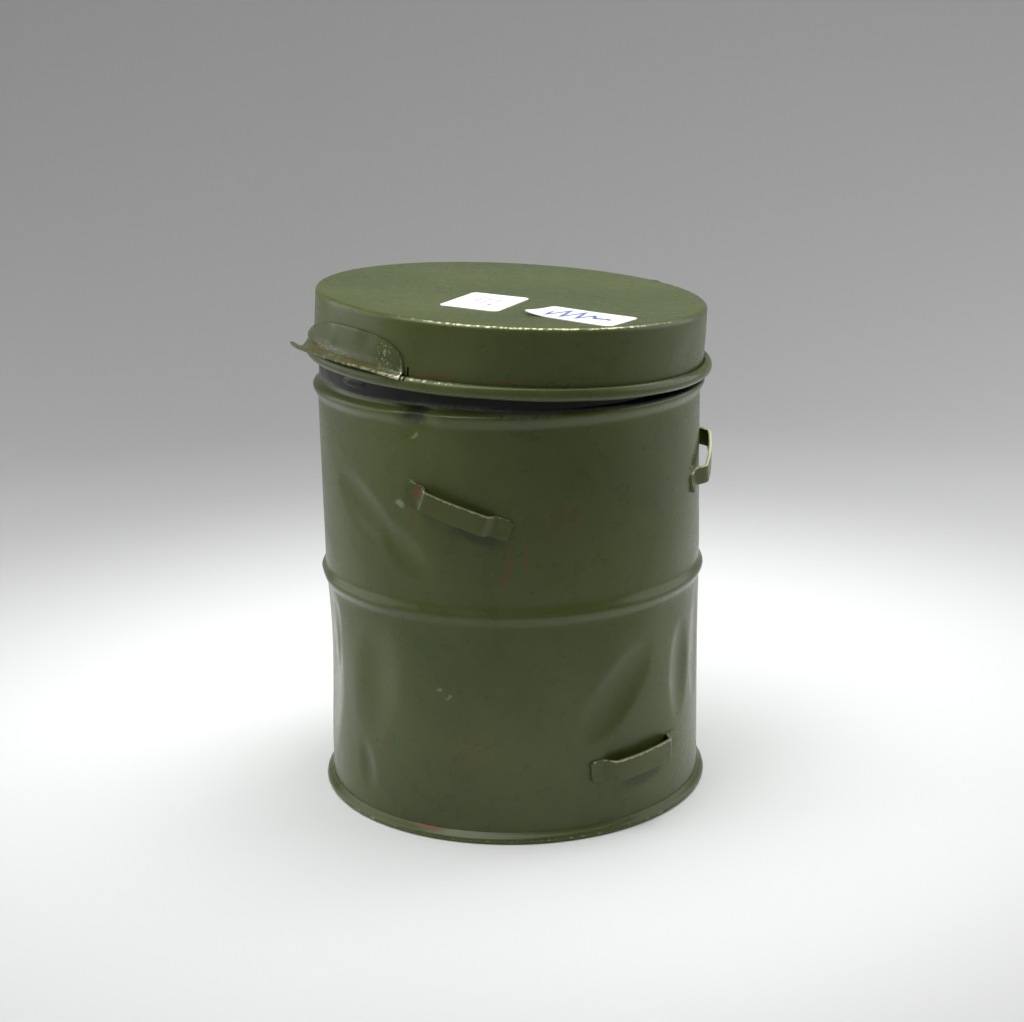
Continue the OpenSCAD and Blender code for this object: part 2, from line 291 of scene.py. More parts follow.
# --- Body ----------------------------------------------------------------------
# The wall is one sheet of steel, rolled, lapped at the back and seamed, with a bead
# rolled in at the waist, a second at the shoulder where it runs in to the neck, and its
# mouth curled inwards. It has been knocked about, so the lower half is creased.
WAIST_Z, WAIST_HALF, WAIST_OUT = 74.75, 3.55, 1.4
SHOULDER_LOW, SHOULDER_CREST, SHOULDER_TOP, SHOULDER_OUT = 133.2, 137.3, 139.9, 1.55
NECK_R = 61.4
MOUTH_Z = 156.0
CURL_R = 1.0
SEAM_HALF = 3.0
SEAM_OUT = 0.35


def ease(u):
    return (1 - cos(pi * min(1, max(0, u)))) / 2


def body_r(z):
    """Outside radius of the wall at a height, beads and shoulder included."""
    if z > SHOULDER_CREST:
        fall = ease((SHOULDER_TOP - z) / (SHOULDER_TOP - SHOULDER_CREST))
        return NECK_R + (BODY_R + SHOULDER_OUT - NECK_R) * fall
    waist = WAIST_OUT * ease(1 - abs(z - WAIST_Z) / WAIST_HALF)
    rise = ease((z - SHOULDER_LOW) / (SHOULDER_CREST - SHOULDER_LOW))
    return BODY_R + waist + SHOULDER_OUT * rise


def inset(z, depth):
    slope = (body_r(z + 0.02) - body_r(z - 0.02)) / 0.04
    across = (1 + slope * slope) ** 0.5
    return body_r(z) - depth / across, z + depth * slope / across


def spread(low, high, count):
    return list(np.linspace(low, high, count, endpoint=False))


wall_heights = (
    spread(0.9, WAIST_Z - WAIST_HALF, 48)
    + spread(WAIST_Z - WAIST_HALF, WAIST_Z + WAIST_HALF, 16)
    + spread(WAIST_Z + WAIST_HALF, SHOULDER_LOW, 38)
    + spread(SHOULDER_LOW, SHOULDER_TOP, 16)
    + spread(SHOULDER_TOP, MOUTH_Z - CURL_R, 6)
)
curl = [
    (NECK_R - CURL_R + CURL_R * cos(radians(a)), MOUTH_Z - CURL_R + CURL_R * sin(radians(a)))
    for a in range(0, 281, 20)
]
body_outline = [(body_r(z), z) for z in wall_heights] + curl
body_outline += [inset(z, SHEET) for z in wall_heights[:0:-2]] + [(INNER_R, 0.9)]
body_outline += [body_outline[0]]
body = turned("body_wall", body_outline)


def away(azimuth, centre):
    """Degrees from a centre, between -180 and 180."""
    return (azimuth - centre + 180) % 360 - 180


def dent(azimuth, height, at, lean, half_size, depth, edge=1.5):
    """Depth of a knock: at is its azimuth and height, lean turns its long side up from level.
    A low edge number leaves a crease round it, a high one fades it out."""
    s = np.radians(away(azimuth, at[0])) * BODY_R
    h = height - at[1]
    u = s * cos(radians(lean)) + h * sin(radians(lean))
    v = -s * sin(radians(lean)) + h * cos(radians(lean))
    inside = np.clip(1 - (u / half_size[0]) ** 2 - (v / half_size[1]) ** 2, 0, 1)
    return depth * inside**edge


def knocks(azimuth, height):
    """How far the wall is pushed in, in mm."""
    a, h = azimuth, height
    return (
        # the left flank below the waist, the deepest
        dent(a, h, (-119, 46), 88, (34, 18), 2.3, 1.4)
        + dent(a, h, (-109, 57), 80, (14, 6), 1.1, 1.1)
        + dent(a, h, (-84, 48), 80, (25, 12), 1.4, 2.3)
        + dent(a, h, (-90, 18), 100, (10, 5), 0.8, 2.0)
        # long diagonal knock across the upper left
        + dent(a, h, (-87, 105), -36, (17, 7), 1.2, 1.1)
        + dent(a, h, (-72, 94), -40, (11, 6), 0.9, 1.2)
        + dent(a, h, (-68, 131.5), 0, (4.5, 2.6), 0.5, 1.2)
        + dent(a, h, (-61, 119), 82, (15, 10), 0.7, 1.4)
        # the shoulder, pushed in beside the tab
        + dent(a, h, (-66, 138), -12, (8.5, 5.5), 1.7, 1.4)
        # lower right, above the loop
        + dent(a, h, (-8, 46), 48, (20, 8), 1.5, 1.1)
        + dent(a, h, (20, 46), 86, (17, 6.5), 1.2, 1.2)
        + dent(a, h, (34, 49), 90, (20, 7), 0.8, 1.4)
        # sides and back
        + dent(a, h, (78, 44), 60, (20, 10), 0.8, 1.4)
        + dent(a, h, (112, 104), -30, (17, 8), 0.7, 1.3)
        + dent(a, h, (152, 38), 20, (15, 8), 0.6, 1.4)
        + dent(a, h, (-158, 98), 70, (18, 9), 0.6, 1.5)
        + dent(a, h, (-148, 24), -50, (10, 5), 0.5, 1.2)
    )


def unevenness(azimuth, height):
    """The slow waviness of thin sheet, a fraction of a mm."""
    h = height / 22
    return (
        0.10 * np.sin(np.radians(5 * azimuth) + h)
        + 0.07 * np.sin(np.radians(9 * azimuth + 40) - 1.7 * h)
        + 0.05 * np.sin(np.radians(14 * azimuth + 10) + 2.6 * h)
    )


radius, azimuth, height = polar(read_points(body))
free = ramp(height, 4, 16) * ramp(height, 146, 138)
stiff = 1 - 0.6 * ramp(np.abs(height - WAIST_Z), WAIST_HALF + 3, WAIST_HALF)
radius = radius - knocks(azimuth, height) * ramp(height, 3.5, 9)
radius = radius + unevenness(azimuth, height) * free * stiff
in_seam = (np.abs(away(azimuth, 180)) * radians(1) * BODY_R < SEAM_HALF) & (radius > INNER_R + 0.3)
seam_ends = ramp(height, 5.5, 6.5) * ramp(height, 131.6, 130.6)
radius = radius + SEAM_OUT * in_seam * seam_ends
write_points(body, unpolar(radius, azimuth, height))
crest = ramp(np.abs(height - WAIST_Z - 0.6), 1.6, 0.2) * (radius > BODY_R + 0.9)
mouth = ramp(height, 155.3, 155.9)
mark_wear_and_sheen(body, 0.34 * crest + 0.5 * mouth)

body_enamel = olive_enamel("olive_enamel_body")
# red-brown primer shows in runs below the feet of the upper left loop
for at, high, size, lean in [
    (-40.2, 91.5, (1.0, 9.5), 6),
    (-35.4, 94.0, (0.7, 6.5), 0),
    (-68.4, 106.0, (0.9, 5.5), 0),
    (-42.5, 86.0, (0.8, 3.0), 0),
]:
    run = patch(body_enamel, at, high, size, lean, ragged=0.9)
    lay_over(body_enamel, weaker(body_enamel, run, 0.55), "#6B3B26", 0.5)
# faint rust blooms and a brown spot on the left
for at, high, size in [(-25, 104, (9, 10)), (-81.5, 29, (3.0, 4.5)), (-52, 30, (12, 9))]:
    bloom = patch(body_enamel, at, high, size, ragged=5)
    lay_over(body_enamel, weaker(body_enamel, bloom, 0.16), "#6A4A2C")
# lilac-grey marks on the shoulder: paint rubbed by the lid rim, and a painted reflection of the
# pale floor
for at, high, size in [(-34, 138.8, (17, 1.6)), (-6, 138.9, (12, 1.5)), (14, 138.6, (12, 1.2))]:
    rub_and_reflection = patch(body_enamel, at, high, size, ragged=1.6)
    lay_over(body_enamel, weaker(body_enamel, rub_and_reflection, 0.5), "#6E7166", 0.42)
# scratches to pale undercoat, two below the waist and one in the ding under the shoulder
for at, high, size in [
    (-61.1, 49.9, (1.4, 0.5)),
    (-58.4, 47.6, (1.8, 0.6)),
    (-67, 130.8, (2.2, 0.6)),
]:
    scratch = patch(body_enamel, at, high, size, -35, ragged=1.2)
    lay_over(body_enamel, weaker(body_enamel, scratch, 0.38), "#A6A98C", 0.45)
# pale patches paint the highlight on the weld that has run at the far foot of the upper left loop
for at, high, size in [(-68.6, 116.7, (2.2, 0.7)), (-72.4, 108.9, (2.0, 1.2))]:
    weld_highlight = patch(body_enamel, at, high, size, 20, ragged=1.6)
    lay_over(body_enamel, weaker(body_enamel, weld_highlight, 0.5), "#A0A388", 0.36)
# painted shadow below the upper left and the lower loop, cast by the loop, with some grime in it
for at, high, size, lean in [(-49, 100.8, (12, 3.6), 19.5), (2, 15.2, (13, 3.2), -2.5)]:
    shadow_and_grime = patch(body_enamel, at, high, size, lean, ragged=1.5)
    lay_over(body_enamel, weaker(body_enamel, shadow_and_grime, 0.55), "#1C2012", 0.5)
# painted shade in the knock in the shoulder, where the band stands off the dented wall
knock_shade = patch(body_enamel, -66.5, 137.6, (5.5, 3.4), -12, ragged=2.0)
lay_over(body_enamel, weaker(body_enamel, knock_shade, 0.75), "#14160F", 0.5)
finish(body, body_enamel, "canister", "body_shell")

# --- Neck band -----------------------------------------------------------------
# A smooth black band lies around the neck, under the lid: rubber or lacquered tape, semi-
# gloss, stretched over the shoulder. Its lower edge runs a little out of level.
BAND_T = 0.6
BAND_TOP = 151.5
BAND_LOW = 139.4
BAND_SLOPE = 1.7
LOW_SIDE = 45.4

band_heights = spread(137.9, SHOULDER_TOP, 9) + spread(SHOULDER_TOP, BAND_TOP - 0.4, 8)
band_outline = [(max(body_r(z) + 0.4, NECK_R + BAND_T), z) for z in band_heights]
band_outline += [(NECK_R + BAND_T, BAND_TOP - 0.3), (NECK_R + BAND_T - 0.3, BAND_TOP)]
band_outline += [(NECK_R + 0.02, BAND_TOP)]
band_outline += [(body_r(z) + 0.02, z) for z in band_heights[::-1]] + [band_outline[0]]
band = turned("neck_band", band_outline)
lean_axis = Vector((cos(radians(LOW_SIDE)), sin(radians(LOW_SIDE)), 0))
bpy.ops.object.mode_set(mode="EDIT")
bpy.ops.mesh.select_all(action="SELECT")
bpy.ops.mesh.bisect(
    plane_co=(0, 0, BAND_LOW * MM),
    plane_no=Matrix.Rotation(radians(BAND_SLOPE), 3, lean_axis) @ Vector((0, 0, 1)),
    use_fill=True,
    clear_inner=True,
    threshold=0.01 * MM,
)
bpy.ops.object.mode_set(mode="OBJECT")
points = read_points(band)
radius, azimuth, height = polar(points)
lowness = ramp(height, 142.5, 140.5)
height = height + lowness * wave(azimuth, (5, 30, 0.12), (11, 70, 0.09), (17, 0, 0.05))
radius = radius - 0.5 * dent(azimuth, height, (-66, 138.5), -10, (8.5, 5.5), 1.05, 1.5)
write_points(band, unpolar(radius, azimuth, height))

band_black = bpy.data.materials.new("black_lacquered_band")
band_black.use_nodes = True
# smooth black rubber-like lacquer: near-black, a soft gloss, dust and rub in its lower edge, and
# there a pale painted highlight where the edge catches the light
shader = band_black.node_tree.nodes["Principled BSDF"]
shader.inputs["IOR"].default_value = 1.33
place = add(band_black, "TexCoord").outputs["Object"]
cloud = add(band_black, "TexNoise", {"Vector": place, "Scale": 150, "Detail": 4.0}).outputs[0]
tone = add(
    band_black, "Mix", {0: cloud, 6: linear("#060708"), 7: linear("#0F1010")}, data_type="RGBA"
)
connect(band_black, "Base Color", tone.outputs[2])
gloss = add(band_black, "MapRange", {0: cloud, 1: 0.3, 2: 0.7, 3: 0.24, 4: 0.40}).outputs[0]
connect(band_black, "Roughness", gloss)
dust_and_sheen = add(band_black, "Attribute", attribute_name="wear_and_sheen").outputs["Fac"]
grit = add(band_black, "TexNoise", {"Vector": place, "Scale": 900, "Detail": 2.0}).outputs[0]
dust_and_sheen = add(band_black, "Math", {0: dust_and_sheen, 1: grit}, operation="MULTIPLY").outputs[0]
lay_over(band_black, dust_and_sheen, "#74756E", 0.5)
ripple = add(band_black, "TexNoise", {"Vector": place, "Scale": 260, "Detail": 1.0}).outputs[0]
bump = add(band_black, "Bump", {"Strength": 0.3, "Distance": 0.08 * MM, "Height": ripple})
connect(band_black, "Normal", bump.outputs[0])
tilted = np.array(Matrix.Rotation(radians(-BAND_SLOPE), 3, lean_axis)) @ (
    read_points(band) - np.array([0, 0, BAND_LOW])
).T
mark_wear_and_sheen(band, ramp(tilted[2], 0.55, 0.15))
finish(band, band_black, "canister", "seal_band")

# --- Neck lug ------------------------------------------------------------------
# A low oval swelling shows under the band below the tab, where something behind it, a
# rivet or a fold, lifts it. It is drawn as an oval pad that follows the neck's curve.
LUG_AZ, LUG_Z, LUG_LONG, LUG_TALL, LUG_OUT = -90, 144.2, 12.5, 3.8, 0.55
bpy.ops.object.select_all(action="DESELECT")
bpy.ops.mesh.primitive_circle_add(vertices=48, radius=1, fill_type="NGON")
lug = bpy.context.active_object
lug.name = lug.data.name = "neck_lug_pad"
bpy.ops.object.mode_set(mode="EDIT")
bpy.ops.mesh.select_all(action="SELECT")
for step in range(5):
    bpy.ops.mesh.inset(thickness=0.16)
bpy.ops.object.mode_set(mode="OBJECT")
flat = read_points(lug) * MM
swell = LUG_OUT * (1 - np.clip(np.hypot(flat[:, 0], flat[:, 1]), 0, 1) ** 3)
along = np.degrees(flat[:, 0] * LUG_LONG / 2 / (NECK_R + BAND_T))
write_points(
    lug, unpolar(NECK_R + BAND_T - 0.05 + swell, LUG_AZ + along, LUG_Z + flat[:, 1] * LUG_TALL / 2)
)
bpy.ops.object.mode_set(mode="EDIT")
bpy.ops.mesh.select_all(action="SELECT")
bpy.ops.mesh.normals_make_consistent(inside=False)
bpy.ops.object.mode_set(mode="OBJECT")
backing = lug.modifiers.new("backing", "SOLIDIFY")
backing.thickness = 0.3 * MM
backing.offset = -1
bpy.ops.object.modifier_apply(modifier="backing")
finish(lug, band_black, "canister", "neck_lug", 60)

# --- Strap loops ---------------------------------------------------------------
# Each loop is a strip of steel about 1 mm thick, its middle bent out to leave a gap for a strap
# and its feet welded flat on the wall before painting. The cut edges are rubbed to bright metal;
# the upper edge of each strip gets more of that pale colour, a painted highlight of the light from
# above. The two upper loops fall towards the front, and the lower one is near level.
STRIP_T = 0.9
STRAP_GAP = 3.1
STEP = 2.6
CUT_EDGE = 0.2


def strip_off(x, flat):
    """How far the strip stands off the wall."""
    return STRAP_GAP * ease((flat + STEP - abs(x)) / STEP)


def strap_loop(name, node, at, high, lean, half, flat, width, material):
    """Walks an edge along the strip, gives it thickness and rounded cut edges, and wraps it."""
    foot = flat + STEP
    stations = (
        spread(-half, -foot - 0.1, 4)
        + spread(-foot - 0.1, -flat + 0.4, 12)
        + spread(-flat + 0.4, flat - 0.4, 14)
        + spread(flat - 0.4, foot + 0.1, 12)
        + spread(foot + 0.1, half, 4)
        + [half]
    )
    bpy.ops.object.select_all(action="DESELECT")
    bpy.ops.mesh.primitive_plane_add(size=MM)
    loop = bpy.context.active_object
    loop.name = loop.data.name = name
    bpy.ops.object.mode_set(mode="EDIT")
    bpy.ops.mesh.merge(type="CENTER")
    path = [Vector((x, -strip_off(x, flat), -width / 2)) * MM for x in stations]
    bpy.ops.transform.translate(value=path[0])
    for a, b in zip(path, path[1:]):
        bpy.ops.mesh.extrude_vertices_move(TRANSFORM_OT_translate={"value": b - a})
    bpy.ops.mesh.select_all(action="SELECT")
    for rise in range(6):
        bpy.ops.mesh.extrude_region_move(
            TRANSFORM_OT_translate={"value": (0, 0, width / 6 * MM)}
        )
    bpy.ops.mesh.select_all(action="SELECT")
    bpy.ops.mesh.remove_doubles(threshold=0.002 * MM)
    bpy.ops.mesh.normals_make_consistent(inside=False)
    bpy.ops.object.mode_set(mode="OBJECT")
    if loop.data.polygons[0].normal.y > 0:
        loop.data.flip_normals()
    thicken(loop, STRIP_T, CUT_EDGE)
    x, y, z = read_points(loop).T
    # corners of the feet are clipped round, and the middle sags and twists a little
    end = ramp(np.abs(x), half - 1.4, half)
    z = z * (1 - 0.16 * end**2)
    edge = ramp(np.abs(z), width / 2 - 0.42, width / 2 - 0.05)
    outer = ramp(-y, strip_off(0, flat) * 0.2, STRAP_GAP)
    z = z + 0.12 * np.sin(x / 5.0)
    weld = np.exp(-(((np.abs(x) - half + 2.2) / 1.3) ** 2) - (z / 1.3) ** 2)
    y = y + 0.22 * weld
    # a bead of weld has run at the lower corner of each foot's far end
    bead = np.exp(-(((x + half - 0.6) / 1.1) ** 2) - ((z + width / 2 - 0.5) / 0.9) ** 2)
    y = y - 0.55 * bead
    level = x * cos(radians(lean)) + z * sin(radians(lean))
    up = high - x * sin(radians(lean)) + z * cos(radians(lean))
    sunk = knocks(at + np.degrees(level / BODY_R), up) * ramp(np.abs(x), flat, foot)
    wall = np.sqrt(BODY_R**2 - level**2) - sunk
    turned_by = radians(at)
    px, py = level, y - wall
    points = np.column_stack(
        [
            px * cos(turned_by) - py * sin(turned_by),
            px * sin(turned_by) + py * cos(turned_by),
            up,
        ]
    )
    write_points(loop, points)
    # painted highlight: the upper cut edge takes more pale colour than the lower one, for the
    # light from above, on top of the rubbing
    rubbed_and_lit = 0.28 + 0.38 * (z > 0)
    mark_wear_and_sheen(loop, edge * (rubbed_and_lit + 0.16 * outer) + 0.5 * end * edge)
    finish(loop, material, "canister", node, 40)
    return loop


loop_enamel = olive_enamel("olive_enamel_loops", 0.77)
# brown rust where the strip leaves the left foot of the upper left loop
riser = patch(loop_enamel, -66.2, 113.6, (2.0, 3.4), 20, radius=64.5, ragged=1.0)
lay_over(loop_enamel, weaker(loop_enamel, riser, 0.85), "#6B4428", 0.7)
UPPER = {"half": 17.8, "flat": 9.8, "width": 6.3, "material": loop_enamel}
strap_loop("strap_loop_left", "strap_loop_upper_left", -55, 108.2, 19.5, **UPPER)
strap_loop("strap_loop_right", "strap_loop_upper_right", 43, 111.5, -19.5, **UPPER)
strap_loop(
    "strap_loop_low", "strap_loop_lower", 0, 22.1, -2.5, 18.6, 11.2, 6.8, loop_enamel
)

# --- Lid skirt -----------------------------------------------------------------
# The skirt is a strip of sheet steel rolled into a ring. Its lower edge is rolled
# outwards and up around a wire, and its upper edge is turned over the disc. The lid
# was put back crooked and leans towards the right.
LID_Z = 144.0
LID_TILT = 3.68
LID_H = 21.15
SKIRT_R = 63.5
SKIRT_IN = SKIRT_R - SHEET
ROLL_WIDE, ROLL_TALL = 1.7, 2.05
ROLL_R, ROLL_H = SKIRT_IN + ROLL_WIDE, 1.55
SLIT_WIDE, SLIT_DEEP, SLIT_TALL = 0.6, 5.8, 3.9
TAB_AZ, TAB_SPAN = -95.4, 52.0
ROUND = 1.6
LID_SEAM = degrees(acos((ROUND - SHEET) / ROUND))
lid_rest = Matrix.Translation((0, 0, LID_Z * MM)) @ Matrix.Rotation(
    radians(LID_TILT), 4, lean_axis
)


def lay_lid(piece):
    """Carries a piece from the lid's own upright frame to where the crooked lid rests."""
    piece.data.transform(lid_rest)


def resting_height(azimuth, above):
    """Height of a point on the skirt once the lid rests crooked, from its lower edge."""
    return LID_Z + above - SKIRT_R * sin(radians(LID_TILT)) * cos(radians(azimuth - LOW_SIDE))


def roll(across, tall, first, last, step):
    turn = range(first, last + (1 if step > 0 else -1), step)
    return [(ROLL_R + across * cos(radians(a)), ROLL_H + tall * sin(radians(a))) for a in turn]


def lid_rounding(first, last):
    """Points along the lid's rounded upper edge, between two angles up from level."""
    return [
        (SKIRT_R - ROUND + ROUND * cos(radians(a)), LID_H - ROUND + ROUND * sin(radians(a)))
        for a in np.linspace(first, last, 6)
    ]


skirt_outline = [(SKIRT_IN, h) for h in (20.55, 18, 15, 12, 9, 6, 3.6)]
skirt_outline += roll(ROLL_WIDE, ROLL_TALL, 180, 480, 12)
skirt_outline += roll(1.1, 1.45, 480, 180, -20)
skirt_outline += [(SKIRT_R, h) for h in (3.6, 6, 8, 10, 12, 14, 16, 18, 19)]
skirt_outline += lid_rounding(0, LID_SEAM) + [skirt_outline[0]]
skirt = turned("lid_skirt_rolled", skirt_outline)
radius, azimuth, height = polar(read_points(skirt))
side = ramp(height, 3.8, 8) * ramp(height, 20.2, 16)
radius = radius + side * (
    0.05 * np.sin(np.radians(6 * azimuth) + height / 4)
    + 0.05 * np.sin(np.radians(11 * azimuth + 50) - height / 5)
    - dent(azimuth, height, (-20, 12), 0, (16, 6), 0.25, 1.4)
    - dent(azimuth, height, (20, 10), 30, (12, 5), 0.2, 1.4)
    - dent(azimuth, height, (140, 12), 10, (18, 6), 0.35, 1.4)
)
low = ramp(height, 4, 2)
height = height + low * wave(azimuth, (6, 0, 0.05), (15, 40, 0.03))
write_points(skirt, unpolar(radius, azimuth, height))
bpy.ops.object.select_all(action="DESELECT")
bpy.ops.mesh.primitive_cube_add(size=MM)
slit = bpy.context.active_object
slit.data.transform(Matrix.Diagonal((SLIT_WIDE, SLIT_DEEP, SLIT_TALL, 1)))
slit.data.transform(Matrix.Translation((0, -(SKIRT_R + 2.1) * MM, (ROLL_H + 2.85) * MM)))
slit.data.transform(Matrix.Rotation(radians(TAB_AZ + TAB_SPAN / 2 + 1.2), 4, "Z"))
cut = skirt.modifiers.new("slit", "BOOLEAN")
cut.operation = "DIFFERENCE"
cut.object = slit
bpy.ops.object.select_all(action="DESELECT")
bpy.context.view_layer.objects.active = skirt
bpy.ops.object.modifier_apply(modifier="slit")
bpy.data.objects.remove(slit)
radius, azimuth, height = polar(read_points(skirt))
roll_top = ramp(height, 2.4, 3.2) * ramp(radius, SKIRT_R + 0.4, SKIRT_R + 0.9) * (height < 4)
top_edge = ramp(height, 20.2, 20.75)
by_tab = ramp(np.abs(away(azimuth, -62)), 16, 5)
# the upper edge is rubbed bright, and more so towards the camera, where the extra is a painted
# highlight
toward_camera = ramp(np.abs(away(azimuth, -30)), 70, 20)
mark_wear_and_sheen(
    skirt,
    roll_top * (0.34 + 0.25 * by_tab) + top_edge * (0.25 + 0.38 * toward_camera),
)
lay_lid(skirt)

lid_enamel = olive_enamel("olive_enamel_lid", 0.53)
# rust lies in the crease above the rolled edge, strongest beside the tab
for at, size, share in [(-60, (11, 0.8), 0.75), (-39, (9, 0.7), 0.6), (-20, (14, 0.5), 0.3)]:
    rust = patch(lid_enamel, at, resting_height(at, 4.9), size, 2.0, radius=64, ragged=0.8)
    lay_over(lid_enamel, weaker(lid_enamel, rust, share), "#664426", 0.55)
finish(skirt, lid_enamel, "lid", "lid_skirt")

# --- Lid wire ------------------------------------------------------------------
# The wire that stiffens the rolled edge is drawn steel, dull and a little rusty; it shows
# only in the slit beside the tab. Its CAD node stays as it is.
wire_steel = bpy.data.materials.new("drawn_steel_wire")
wire_steel.use_nodes = True
shader = wire_steel.node_tree.nodes["Principled BSDF"]
shader.inputs["Metallic"].default_value = 1.0
place = add(wire_steel, "TexCoord").outputs["Object"]
bloom = add(wire_steel, "TexNoise", {"Vector": place, "Scale": 300, "Detail": 4.0}).outputs[0]
bloom = add(wire_steel, "MapRange", {0: bloom, 1: 0.45, 2: 0.65}).outputs[0]
tone = add(
    wire_steel, "Mix", {0: bloom, 6: linear("#8E8C86"), 7: linear("#5A3D28")}, data_type="RGBA"
)
connect(wire_steel, "Base Color", tone.outputs[2])
gloss = add(wire_steel, "MapRange", {0: bloom, 3: 0.35, 4: 0.75}).outputs[0]
connect(wire_steel, "Roughness", gloss)
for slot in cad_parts["lid_rim_wire"].material_slots:
    slot.material = wire_steel

# --- Lid disc ------------------------------------------------------------------
# The top is a disc of the same sheet with a flange turned down inside the skirt and soldered. Its
# face is not quite flat, and the paint on its edge is rubbed bright; the extra pale colour on the
# side towards the camera is a painted highlight.
FLANGE, FLANGE_IN = 4.6, 62.3


def top_waves(x, y):
    """The face's slow dips and rises in mm, none at its rim."""
    r = np.hypot(x, y)
    calm = ramp(r, 61.5, 50)
    return calm * (
        -0.18 * ramp(r, 58, 20)
        + 0.10 * np.sin(x / 13 + 0.6) * np.sin(y / 15 - 0.4)
        + 0.05 * np.sin(x / 6.5 - y / 9)
    )


face = [(r, LID_H) for r in np.linspace(0, 60, 31)]
disc_outline = face + [(61.0, LID_H)] + lid_rounding(LID_SEAM, 90)[::-1]
disc_outline += [(SKIRT_IN, LID_H - FLANGE), (FLANGE_IN, LID_H - FLANGE)]
disc_outline += [(FLANGE_IN, 20.25), (62.1, 20.5), (61.7, 20.55)]
disc_outline += [(r, LID_H - SHEET) for r in np.linspace(60, 0, 25)]
disc = turned("lid_disc", disc_outline, 240)
x, y, z = read_points(disc).T
r = np.hypot(x, y)
azimuth = np.degrees(np.arctan2(x, -y))
upper = z > 20.4
# the face's slow waves, and a burr on its edge where it was levered
burr = np.exp(-((away(azimuth, 87.4) / 1.6) ** 2)) * ramp(r, 60.8, 62.2)
z = z + upper * (top_waves(x, y) + 0.35 * burr)
write_points(disc, np.column_stack([x, y, z]))
# the rubbed rim is paler towards the camera, where the extra is a painted highlight
toward_camera = ramp(np.abs(away(azimuth, -30)), 70, 20)
mark_wear_and_sheen(disc, ramp(r, 61.6, 62.6) * (z > 20.7) * (0.26 + 0.38 * toward_camera))
lay_lid(disc)
finish(disc, lid_enamel, "lid", "lid_top")

# --- Lid tab -------------------------------------------------------------------
# A curved plate is soldered on the skirt. Its lower edge flares out over the rolled edge
# as a lip, wider at its far end, for levering the lid off with a finger. The bend is
# rubbed and rusty, and the plate is a little crumpled.
TAB_TOP, TAB_CROWN, TAB_FALL = 14.9, -89.0, 7.0
LIP_R, LIP_OFF, LIP_TO = 65.6, 6.4, -149.0
TAB_LOW = 3.85
TAB_GAUGE = 0.75
LIP_ROWS = 10
TAB_LEFT, TAB_RIGHT = TAB_AZ - TAB_SPAN / 2, TAB_AZ + TAB_SPAN / 2


def tab_edge(azimuth):
    """Height of the plate's upper edge, an arch that falls slowly to its far end."""
    left = np.clip((TAB_CROWN - azimuth) / (TAB_CROWN - TAB_LEFT), 0, 1)
    right = np.clip((azimuth - TAB_CROWN) / (TAB_RIGHT - TAB_CROWN), 0, 1)
    low = TAB_LOW + 0.9
    return TAB_TOP - TAB_FALL * left**2 - (TAB_TOP - low) * (1 - (1 - right**2.6) ** (1 / 2.6))


def lip_edge(azimuth):
    """Radius of the lip's outer edge, on a circle set off from the lid's axis."""
    turn = np.radians(away(azimuth, LIP_TO))
    return LIP_OFF * np.cos(turn) + np.sqrt(LIP_R**2 - (LIP_OFF * np.sin(turn)) ** 2)


def roll_over(radius):
    """Height of the rolled edge's outer top, which the lip has to clear."""
    reach = np.clip((radius - ROLL_R) / ROLL_WIDE, -1, 1)
    return ROLL_H + ROLL_TALL * np.sqrt(1 - reach**2)


tab_outline = [(SKIRT_R, 5 + 8 * v) for v in np.linspace(1, 0, 13)]
tab_outline += [(SKIRT_R + 1 + k, 4.6) for k in range(LIP_ROWS)]
tab = turned("lid_tab_plate", tab_outline, 72, TAB_LEFT, TAB_SPAN)
radius, azimuth, height = polar(read_points(tab))
s = SKIRT_R * np.radians(away(azimuth, TAB_AZ))
on_plate = radius < SKIRT_R + 0.5
far_end = ramp(azimuth, -104, TAB_LEFT)
# the plate: crumpled a little, and standing off the skirt towards its lower edge
share = np.clip((height - 5) / 8, 0, 1)
low = TAB_LOW + 0.9
plate_h = low + (tab_edge(azimuth) - low) * share
calm = ramp(azimuth, TAB_LEFT, TAB_LEFT + 4) * ramp(azimuth, TAB_RIGHT, TAB_RIGHT - 4)
crumple = 0.22 * np.sin(s / 2.9 + 0.5 + plate_h / 5) + 0.12 * np.sin(s / 1.7 - plate_h / 3)
plate_r = SKIRT_R + 0.06 + np.clip(crumple, 0, 1) * calm * share
plate_r = plate_r + 0.45 * ramp(plate_h, 8.5, low) ** 2
plate_r = plate_r + 1.15 * far_end * np.exp(-(((plate_h - 6.2) / 1.7) ** 2))
# the lip: over the rolled edge and out, arched along its length, drooping at its far end
out = np.clip((radius - SKIRT_R) / LIP_ROWS, 0, 1)
root_r = SKIRT_R + 0.51 + 0.57 * far_end
lip_r = root_r + (lip_edge(azimuth) - root_r) * out
from_crown = away(azimuth, -89.4)
rim_h = 4.8 - 2.0 * (from_crown / np.where(from_crown > 0, 21.2, 33.7)) ** 2
lip_h = low + (rim_h - 0.4 - low) * out ** (0.6 - 0.35 * far_end) + 0.07 * np.sin(s / 2.3) * out
lip_h = lip_h - 1.5 * far_end * np.sin(pi * np.clip(out * 1.15, 0, 1))
lip_h = np.where(lip_r < ROLL_R + ROLL_WIDE, np.maximum(lip_h, roll_over(lip_r) + 0.03), lip_h)
radius = np.where(on_plate, plate_r, lip_r)
height = np.where(on_plate, plate_h, lip_h)
write_points(tab, unpolar(radius, azimuth, height))
if sum(f.normal.x * f.center.x + f.normal.y * f.center.y for f in tab.data.polygons) < 0:
    tab.data.flip_normals()
thicken(tab, TAB_GAUGE, CUT_EDGE)
radius, azimuth, height = polar(read_points(tab))
s = SKIRT_R * np.radians(away(azimuth, TAB_AZ))
toward = ramp(azimuth, -104, -72)
